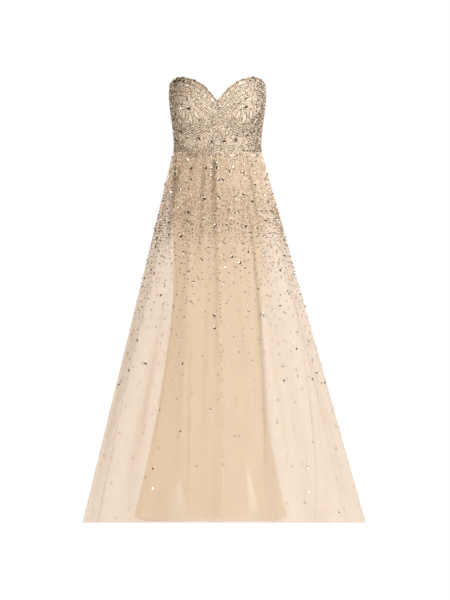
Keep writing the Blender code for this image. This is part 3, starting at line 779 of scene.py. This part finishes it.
LEAVES = (
    (9.5, 24, 50, 15), (9.5, 46, 50, 15), (9.5, 68, 50, 15), (8.5, 90, 55, 14), (40, 30, 118, 18),
    (30, 36, 62, 16), (164, 48, 55, 18), (180, 56, 125, 18), (164, 104, 55, 18), (180, 112, 125, 18),
    (208, 18, 55, 18), (224, 26, 125, 18), (208, 76, 55, 18), (224, 84, 125, 18), (252, 44, 55, 18),
    (268, 52, 125, 18), (296, 14, 55, 18), (312, 22, 125, 18), (296, 70, 55, 18), (312, 78, 125, 18),
    (340, 42, 55, 18), (356, 50, 125, 18), (386, 12, 55, 18), (398, 20, 125, 16), (386, 68, 55, 16),
)
DROPS = (
    (80, 62, 80, 98, 3.6), (55, 76, 65, 106, 3.2), (105, 76, 95, 106, 3.2), (62, 132, 48, 122, 2.4),
    (98, 132, 112, 122, 2.4), (122, 62, 130, 82, 2.8),
)
FRONT_FILL = 0.0037
SIDE_FILL = 0.0035
FILL_STRAY = 0.15
SIDES_FROM = 0.112
BACK_FROM = 0.2
ROW_RISE = 0.87
SEED_LEAN = 0.22


def turned_shape(sides, rings, lit=()):
    """A cut shape: rings of points, each a radius and a height, joined by triangles, with a flat cap
    below and above. Its kinds are 0 below and on the lowest band. On the bands above they are 1 on
    the sides named as lit and 2 elsewhere, and on the cap above, 1 on the first third and 2 on the
    rest. A shape of one band is all of kind 0. On a stone, kind 1 takes a painted highlight and kind 2
    painted shade."""
    turn = 2 * math.pi * np.arange(sides) / sides
    points = [
        np.stack([r * np.cos(turn), r * np.sin(turn), np.full(sides, h)], axis=-1) for r, h in rings
    ]
    faces = [(0, k + 1, k) for k in range(1, sides - 1)]
    kinds = [0] * len(faces)
    for band in range(len(rings) - 1):
        for k in range(sides):
            a, b = band * sides + k, band * sides + (k + 1) % sides
            faces += [(a, b, b + sides), (a, b + sides, a + sides)]
            kinds += [0 if band == 0 else 1 if k in lit else 2] * 2
    top = (len(rings) - 1) * sides
    faces += [(top, top + k, top + k + 1) for k in range(1, sides - 1)]
    lit_above = (sides - 2) // 3
    above = [1] * lit_above + [2] * (sides - 2 - lit_above)
    kinds += above if len(rings) > 2 else [0] * (sides - 2)
    return np.concatenate(points), np.array(faces), np.array(kinds)


def glass(name):
    """Cut glass with a silvered or pearly hole. The lining gives the metallic glint, and the polished
    glass over it is a clear coat."""
    colour, metallic, roughness = GLASS[name]
    return finish(
        name + "_silver_lined_glass", Base_Color=linear(colour), Metallic=metallic,
        Roughness=roughness, Coat_Weight=0.4, Coat_Roughness=0.08, Coat_IOR=1.52,
    )[0]


def strung(path, pitch):
    """Places a pitch apart along a path: across, up, and the direction of the path there."""
    run = run_of(path)
    count = max(int(run[-1] / pitch), 1)
    at = (np.arange(count) + 0.5) * run[-1] / count
    behind, here, ahead = [
        np.array([np.interp(at + step, run, column) for column in path.T])
        for step in (-pitch / 3, 0, pitch / 3)
    ]
    return np.stack([*here, np.arctan2(*(ahead - behind)[::-1])], axis=-1)


def curve_through(points):
    """A smooth path through a few points."""
    knots = np.arange(len(points))
    at = np.linspace(0, len(points) - 1, 40 * len(points))
    return np.stack([smooth_through(at, knots, column) for column in zip(*points)], axis=-1)


def leaf_outline(length, width):
    """A closed leaf: half its width at each place is a sine of how far along it lies."""
    s = np.linspace(0, 1, 60)
    upper = np.stack([length * (s - 0.5), width / 2 * np.sin(math.pi * s)], axis=-1)
    return np.concatenate([upper, upper[::-1] * [1, -1]])


def placed(path, across, up, turn):
    """A path turned to the left by an angle in degrees and moved to a place."""
    cos, sin = math.cos(math.radians(turn)), math.sin(math.radians(turn))
    return path @ np.array([[cos, sin], [-sin, cos]]) + [across, up]


def arc(across, up, radius, start, end):
    """Part of a circle about a point, between two angles in degrees."""
    turn = np.radians(np.linspace(start, end, 90))
    return np.stack([across + radius * np.cos(turn), up + radius * np.sin(turn)], axis=-1)


rng = np.random.default_rng(7)
girth_angles, girth_run = along_ring(bodice_surface, GIRTH_LEVEL, -math.pi, math.pi)
girth = girth_run - np.interp(0, girth_angles, girth_run)
half_girth = girth[-1]


def angle_at(across):
    """The angle of a place on the bodice, from its distance round the girth."""
    return np.interp(across, girth, girth_angles)


chart = np.zeros((CHART_ROWS, int(2 * half_girth / CHART_CELL) + 2 * CHART_MARGIN), bool)


def cells(across, up):
    """The row and column of the chart in which a place lies."""
    rows = ((up - CHART_FOOT) / CHART_CELL).astype(int)
    columns = ((across + half_girth) / CHART_CELL).astype(int) + CHART_MARGIN
    return np.clip(rows, 0, chart.shape[0] - 1), np.clip(columns, 0, chart.shape[1] - 1)


def free(across, up):
    """Whether a bead may lie there: on the cloth, clear of the zip and not taken by another."""
    rows, columns = cells(across, up)
    on_cloth = (up > WAIST_SEAM + ABOVE_WAIST) & (up < top_edge(angle_at(across)) - UNDER_EDGE)
    return on_cloth & (np.abs(across) < half_girth - BESIDE_ZIP) & ~chart[rows, columns]


def take(across, up, radius):
    """Marks the chart within a radius of each place."""
    reach = int(radius / CHART_CELL)
    rows, columns = cells(across, up)
    for i in range(-reach, reach + 1):
        width = int(math.sqrt(reach**2 - i**2))
        for j in range(-width, width + 1):
            ok_rows = np.clip(rows + i, 0, chart.shape[0] - 1)
            chart[ok_rows, np.clip(columns + j, 0, chart.shape[1] - 1)] = True


def tones_of(count, mix):
    """A tone for each of many beads, drawn from a mix."""
    return rng.choice(len(TONES), size=count, p=MIXES[mix])


beads, bugles, stones = [], [], []


def lay_row(path, mix, upright=False):
    """Strings beads along a path where the chart is free, and marks it. Upright rows are of bugles
    that lie across the path."""
    row = strung(path, BUGLE_PITCH if upright else SEED_PITCH)
    row = row[free(row[:, 0], row[:, 1])]
    take(row[:, 0], row[:, 1], BUGLE_TAKES if upright else SEED_TAKES)
    row[:, 2] += math.pi / 2 * upright
    sizes = np.full(len(row), BUGLE_LENGTH if upright else SEED)
    (bugles if upright else beads).append(np.column_stack([row, sizes, tones_of(len(row), mix)]))


def lay_stone(across, up, size):
    """Sets one stone, turned at random, and marks the chart round it."""
    stones.append(np.array([[across, up, rng.uniform(0, 2 * math.pi), size, 0]]))
    take(np.array([across]), np.array([up]), size / 2 + STONE_TAKES)


def lay_leaf(outline, mirror):
    """Strings beads round a closed shape and keeps the satin inside it bare."""
    lay_row(outline * mirror, "dark")
    middle = outline.mean(axis=0)
    for share in (0.1, 0.3, 0.5, 0.7):
        inside = (middle + share * (outline - middle)) * mirror
        take(inside[:, 0], inside[:, 1], LEAF_TAKES)


edge_across = np.linspace(0, half_girth, 1600)
edge_path = np.stack([edge_across, top_edge(angle_at(edge_across))], axis=-1)
edge_slope = np.gradient(edge_path, axis=0)
edge_down = unit(np.stack([edge_slope[:, 1], -edge_slope[:, 0]], axis=-1))


def below_edge(offset):
    """The path that lies an offset below the sweetheart edge, rounding the point of the V first."""
    start = math.degrees(math.atan2(edge_down[0, 1], edge_down[0, 0]))
    corner = arc(0, edge_path[0, 1], offset, -90, start)
    return np.concatenate([corner, edge_path + offset * edge_down])


for side in (1, -1):
    mirror = np.array([side, 1])
    for across, up, size in np.array(STONES) / 1000:
        if side == 1 or across > 0:
            lay_stone(side * across, up, size)
            lay_row(arc(across, up, size / 2 + SEED, 0, 360) * mirror, "mixed")
    for across, up, turn, length in LEAVES:
        outline = leaf_outline(length / 1000, LEAF_WIDTH)
        lay_leaf(placed(outline, across / 1000, up / 1000, turn), mirror)
    for *start, end_across, end_up, half_width in np.array(DROPS) / 1000:
        run = np.array([end_across, end_up]) - start
        turn = math.degrees(math.atan2(run[1], run[0]))
        rim = leaf_outline(np.linalg.norm(run) + 0.006, 2 * half_width + 0.0052)
        lay_leaf(placed(rim, *(start + run / 2), turn), mirror)
    for mix, points in STEMS:
        lay_row(curve_through(points) / 1000 * mirror, mix)
    for across, up, _ in strung(below_edge(EDGE_STONES), EDGE_STONE_PITCH):
        lay_stone(side * across, up, EDGE_STONE)
    for offset, mix in EDGE_ROWS:
        lay_row(below_edge(offset / 1000) * mirror, mix)
    lay_row(below_edge(EDGE_BUGLES) * mirror, "mixed", upright=True)
    for radius in BUST_ARCS:
        lay_row(arc(*BUST, radius, *BUST_SWEEP) * mirror, "dark")
    for rise in (*WAIST_ROWS, WAIST_BUGLES):
        level = np.array([[SEED / 2, rise], [half_girth, rise]]) + [0, WAIST_SEAM]
        lay_row(level * mirror, "soft", upright=rise == WAIST_BUGLES)
    for across in np.arange(0, half_girth, FAN_PITCH):
        for radius in FAN_ROWS:
            lay_row(arc(across, FAN_FOOT, radius, 0, 180) * mirror, "dark")
    rise = np.linspace(WAVE["foot"], WAVE["top"], 120)
    bend = WAVE["sway"] * np.sin(2 * math.pi * rise / WAVE["length"])
    for across in np.arange(WAVES_FROM, half_girth - 0.012, WAVE_PITCH):
        for off in WAVE_PAIR:
            lay_row(np.stack([across + off + bend, rise], axis=-1) * mirror, "dark")

for pitch, mix, at_sides in ((FRONT_FILL, "soft", False), (SIDE_FILL, "deep", True)):
    rows_up = np.arange(WAIST_SEAM, max(TOP_EDGE[1]) + 0.002, pitch * ROW_RISE)
    across, up = np.meshgrid(np.arange(-half_girth, half_girth, pitch), rows_up)
    across = across + pitch / 2 * (np.arange(len(rows_up)) % 2)[:, None]
    across = (across + rng.normal(0, FILL_STRAY * pitch, across.shape)).ravel()
    up = (up + rng.normal(0, FILL_STRAY * pitch, up.shape)).ravel()
    kept = free(across, up) & ((np.abs(across) > SIDES_FROM) == at_sides)
    turn = rng.uniform(0, math.pi, kept.sum())
    size = SEED * rng.uniform(0.85, 1.05, kept.sum())
    fill = [across[kept], up[kept], turn, size, tones_of(kept.sum(), mix)]
    beads.append(np.column_stack(fill))

seed_bead = turned_shape(5, ((0.50, 0.0), (0.30, 0.56)))
# Three sides and a third of the cap carry the stone's painted highlight; the other facets above carry
# painted shade
chaton = turned_shape(8, ((0.50, 0.0), (0.54, 0.22), (0.30, 0.50)), lit=(0, 1, 2))
glass_tones = [glass(name) for name in TONES]

# A stone is foiled crystal in a claw setting of silvered brass. Its facets are painted: some with a
# fixed highlight, the rest with painted shade
claw = finish("silvered_brass_claw", Base_Color=linear("#A08C72"), Metallic=0.9, Roughness=0.3)[0]
stone_finishes = [claw]
for name, colour, metallic, roughness in (
    ("foiled_crystal_painted_highlight", "#FFFDF8", 0.25, 0.10), ("foiled_crystal_painted_shade", "#3E2B1B", 0.5, 0.25)
):
    facet = finish(name, Base_Color=linear(colour), Metallic=metallic, Roughness=roughness)[0]
    stone_finishes.append(facet)


def sew_on_bodice(name, rows, template, materials, tilt):
    """Sews beads on the bodice. Each row is a place across and up, a direction, a size and a tone."""
    across, up, turn, size, tone = np.concatenate(rows).T
    places = np.stack([angle_at(across), up, size, turn], axis=-1)
    return sew_on(name, bodice_surface, places, template, materials, tone.astype(int), tilt)


all_beads = np.concatenate(beads)
for name, side, behind in (
    ("front_left", 1, False), ("front_right", -1, False),
    ("back_left", 1, True), ("back_right", -1, True),
):
    here = (side * all_beads[:, 0] >= 0) & ((np.abs(all_beads[:, 0]) > BACK_FROM) == behind)
    sew_on_bodice(f"bodice_beads_{name}", [all_beads[here]], seed_bead, glass_tones, SEED_LEAN)
sew_on_bodice("bodice_bugle_beads", bugles, bar(0.42, 0.38), glass_tones, 0.10)
sew_on_bodice("bodice_stones", stones, chaton, stone_finishes, 0.10)

rim_path = np.concatenate([edge_path[::-1] * [-1, 1], edge_path[1:]])
rim = strung(rim_path, EDGE_BEAD * 1.05)
rim = rim[np.abs(rim[:, 0]) < half_girth - 0.003]
sizes = EDGE_BEAD * rng.choice([0.9, 1.1, 1.6], size=len(rim), p=(0.42, 0.40, 0.18))
places = np.stack([angle_at(rim[:, 0]), rim[:, 1] - 0.0009, sizes, rim[:, 2]], axis=-1)
edge_bead = turned_shape(6, ((0.36, 0.0), (0.5, 0.28), (0.3, 0.75)))
edge_bead = (*edge_bead[:2], 0 * edge_bead[2])
edge_tones = tones_of(len(rim), "mixed")
sew_on("top_edge_beads", bodice_surface, places, edge_bead, glass_tones, edge_tones, 0.15)

# Skirt beadwork. The same beads, pale at the hip and larger and browner below it, thin out down the net
# until a few are left above the hem. In deep folds and creases they are browner too, as painted shade.
# Small rings of them and claw-set stones are scattered among them. A row runs down the centre front
# seam.

# Spacing: heights, and the gap between neighbours there in mm
SKIRT_SPACING = (
    (-1.08, -0.795, -0.664, -0.534, -0.447, -0.36, -0.287, -0.258, -0.215, -0.157, -0.099, -0.032),
    (100, 70, 52, 40, 27, 20, 13.5, 10.5, 8.2, 6.3, 4.8, 4.1),
)
STONE_SPACING = ((-1.08, -0.8, -0.66, -0.5, -0.36, -0.26, -0.032), (230, 165, 125, 92, 66, 48, 40))
RING_SPACING = ((-1.08, -0.6, -0.48, -0.34, -0.23, -0.2, -0.032), (400, 260, 110, 64, 70, 300, 400))
RING_RADIUS = 0.0042
RING_HEIGHTS = (-0.62, -0.18)
SEAM_ROW = {"foot": -0.93, "pitch": 0.0115, "gaps_at_hem": 0.55}
SKIRT_SEED = 0.0030
LARGER_BELOW = 0.28
BROWN_FROM = 0.078
BROWN_OVER = 0.11
# How creased the net must be before its beads take the brown mix as painted shade
BROWN_IN_CREASE_SHADE = 0.70
STONE_SIZES = (0.0060, 0.0076, 0.0092)
STONE_SHARES = (0.35, 0.40, 0.25)
STONE_TAPER = 0.25
STONE_CLEARANCE = 0.0046


def scattered(spacing, first, loose):
    """Places all round the skirt, row by row downwards. The gap in a row and between rows follows the
    spacing table, and each place strays from its even step by a share of the gap."""
    found = []
    z = WAIST_SEAM - first
    while z > SKIRT_HEM + 0.012:
        gap = float(smooth_through(z, *spacing)) / 1000
        angles, run = along_ring(skirt_surface, z, -math.pi + 0.002, math.pi - 0.002)
        count = int(run[-1] / gap)
        at = (np.arange(count) + rng.uniform() + rng.normal(0, loose, count)) * run[-1] / count
        turned = np.interp(at % run[-1], run, angles)
        found.append(np.stack([turned, z + rng.normal(0, loose, count) * gap], axis=-1))
        z -= ROW_RISE * gap
    found = np.concatenate(found)
    on_net = (found[:, 1] < WAIST_SEAM - 0.001) & (found[:, 1] > SKIRT_HEM + 0.004)
    beside_zip = (np.abs(found[:, 0]) > math.pi - 0.05) & (found[:, 1] > ZIP_FOOT)
    return found[on_net & ~beside_zip]


skirt_stones = scattered(STONE_SPACING, 0.012, 0.30)
skirt_beads = scattered(SKIRT_SPACING, 0.002, 0.22)
seam_line = np.array([[0, WAIST_SEAM - 0.004], [0, SEAM_ROW["foot"]]])
seam_beads = strung(seam_line, SEAM_ROW["pitch"])[:, :2]
left_out = SEAM_ROW["gaps_at_hem"] * drop_share(seam_beads[:, 1])
seam_beads = seam_beads[rng.uniform(size=len(seam_beads)) > left_out]
ring_middles = scattered(RING_SPACING, 0.150, 0.35)
low_enough = ring_middles[:, 1] < RING_HEIGHTS[1]
ring_middles = ring_middles[low_enough & (ring_middles[:, 1] > RING_HEIGHTS[0])]
round_ring = 2 * math.pi * np.arange(6) / 6
turned = turn_by(skirt_surface, *ring_middles.T, RING_RADIUS)[:, None] * np.cos(round_ring)
raised = RING_RADIUS * np.sin(round_ring) + 0 * turned
ringed = ring_middles[:, None] + np.stack([turned, raised], axis=-1)
skirt_beads = np.concatenate([skirt_beads, seam_beads, ringed.reshape(-1, 2)])
for turned, z in skirt_stones:
    radius = 0.14 + 0.25 * (WAIST_SEAM - z)
    off = (skirt_beads - [turned, z]) * [radius, 1]
    skirt_beads = skirt_beads[np.linalg.norm(off, axis=-1) > STONE_CLEARANCE]
drop = WAIST_SEAM - skirt_beads[:, 1]
larger = 1 + LARGER_BELOW * np.clip((drop - 0.1) / 0.1, 0, 1)
size = SKIRT_SEED * larger * rng.uniform(0.8, 1.15, len(drop))
low_down = rng.uniform(size=len(drop)) < (drop - BROWN_FROM) / BROWN_OVER
tone = np.where(low_down, tones_of(len(drop), "brown"), tones_of(len(drop), "bright"))
# Painted shade: beads in deep folds and creases take the brown mix
in_crease_shade = crease_shade_and_gather(skirt_beads[:, 0], drop_share(skirt_beads[:, 1])) > BROWN_IN_CREASE_SHADE
tone = np.where(in_crease_shade & ~low_down, tones_of(len(drop), "brown"), tone)
places = np.column_stack([skirt_beads, size, rng.uniform(0, math.pi, len(drop))])
turned = np.degrees(skirt_beads[:, 0])
for name, start in (("front_right", -90), ("front_left", 0), ("back_left", 90), ("back_right", -180)):
    here = (turned >= start) & (turned < start + 90)
    name = f"skirt_beads_{name}"
    sew_on(name, skirt_surface, places[here], seed_bead, glass_tones, tone[here], SEED_LEAN)
size = rng.choice(STONE_SIZES, size=len(skirt_stones), p=STONE_SHARES)
size *= 1 - STONE_TAPER * drop_share(skirt_stones[:, 1])
places = np.column_stack([skirt_stones, size, rng.uniform(0, 2 * math.pi, len(size))])
sew_on("skirt_stones", skirt_surface, places, chaton, stone_finishes, 0, 0.12)

# Stage and light. A white floor under the hem, in a room that is darker and warmer on the wearer's
# right. A broad key from the front left, a sun-like fill from the front, a lamp behind and one inside
# the skirt, a low spot from the right on the skirt's foot and a high one from the left on the bodice.
bpy.ops.mesh.primitive_plane_add(size=30, location=(0, 0, SKIRT_HEM - 0.004))
floor = bpy.context.object
floor.name = "floor"
white = finish("pale_studio_floor", Base_Color=linear("#FFFFFF"), Roughness=0.9)[0]
floor.data.materials.append(white)


def add_lamp(name, kind, size, energy, place, colour, target=(0, 0, -0.35)):
    """A lamp at a place, turned towards a target on the gown. Its size is the side of an area lamp, the
    angle of a sun and the radius of the others."""
    light = bpy.data.lights.new(name, kind)
    light.energy = energy
    light.color = colour
    extent = {"AREA": "size", "SUN": "angle"}.get(kind, "shadow_soft_size")
    setattr(light, extent, size)
    lamp = bpy.data.objects.new(name, light)
    lamp.location = place
    toward = mathutils.Vector(target) - mathutils.Vector(place)
    lamp.rotation_euler = toward.to_track_quat("-Z", "Y").to_euler()
    scene.collection.objects.link(lamp)
    return lamp


add_lamp("key", "AREA", 1.2, 51, (2.2, -3.0, 1.8), (1, 0.99, 0.97))
add_lamp("fill", "SUN", math.radians(30), 0.72, (-0.5, -4.6, 0.0), (1, 0.94, 0.87))
add_lamp("back", "AREA", 2.0, 30, (0.3, 2.8, 1.4), (1, 0.97, 0.93))
inner = add_lamp("inside", "POINT", 0.06, 0.36, (0, 0.01, -0.975), (1, 0.99, 0.97))
inner.visible_camera = False
for name, energy, place, colour, target, width, blend in (
    ("low", 300, (-3.5, -1.2, -0.9), (1, 0.95, 0.90), (-0.15, 0, -0.82), 30, 0.8),
    ("high", 230, (3.4, -0.9, 0.1), (1, 0.98, 0.95), (0.08, 0, 0.08), 8, 0.9),
):
    spot = add_lamp(name, "SPOT", 0.5, energy, place, colour, target).data
    spot.spot_size = math.radians(width)
    spot.spot_blend = blend
world = bpy.data.worlds.new("studio")
scene.world = world
world.use_nodes = True
tree = world.node_tree
tree.nodes.clear()
way = node(tree, "TexCoord")
sideways = node(tree, "SeparateXYZ", Vector=way)
shade = node(tree, "MapRange", Value=sideways, From_Min=-1.0, From_Max=1.0, To_Min=0.18, To_Max=1.50)
warmth = node(tree, "MapRange", Value=sideways, From_Min=-1.0, From_Max=0.6)
tint = node(tree, "Mix", MIXED, i0=warmth, i6=(1, 0.82, 0.62, 1), i7=(1, 0.99, 0.97, 1))
patches = node(tree, "TexNoise", Vector=way, Scale=2.4, Detail=1.0)
uneven = node(tree, "MapRange", Value=patches, From_Min=0.35, From_Max=0.65, To_Min=0.45, To_Max=1.45)
strength = node(tree, "Math", PRODUCT, i0=shade, i1=uneven)
room = node(tree, "Background", Color=tint.outputs[2], Strength=strength)
seen = node(tree, "Background", Color=(1, 1, 1, 1), Strength=1.0)
both = node(tree, "MixShader", i0=node(tree, "LightPath"), i1=room, i2=seen)
node(tree, "OutputWorld", Surface=both)
scene.view_settings.view_transform = "Standard"

# Camera. Level, straight in front of the gown, and without perspective. The picture is 600 pixels
# high, and each pixel covers 2.9 mm of the gown.
PIXEL = 0.0029
PICTURE_HEIGHT = 600
camera = bpy.data.cameras.new("camera")
camera.type = "ORTHO"
camera.ortho_scale = PIXEL * PICTURE_HEIGHT
camera.clip_end = 50
eye = bpy.data.objects.new("camera", camera)
eye.location = (0.02175, -6, -0.4466)
eye.rotation_euler = (math.pi / 2, 0, 0)
scene.collection.objects.link(eye)
scene.camera = eye
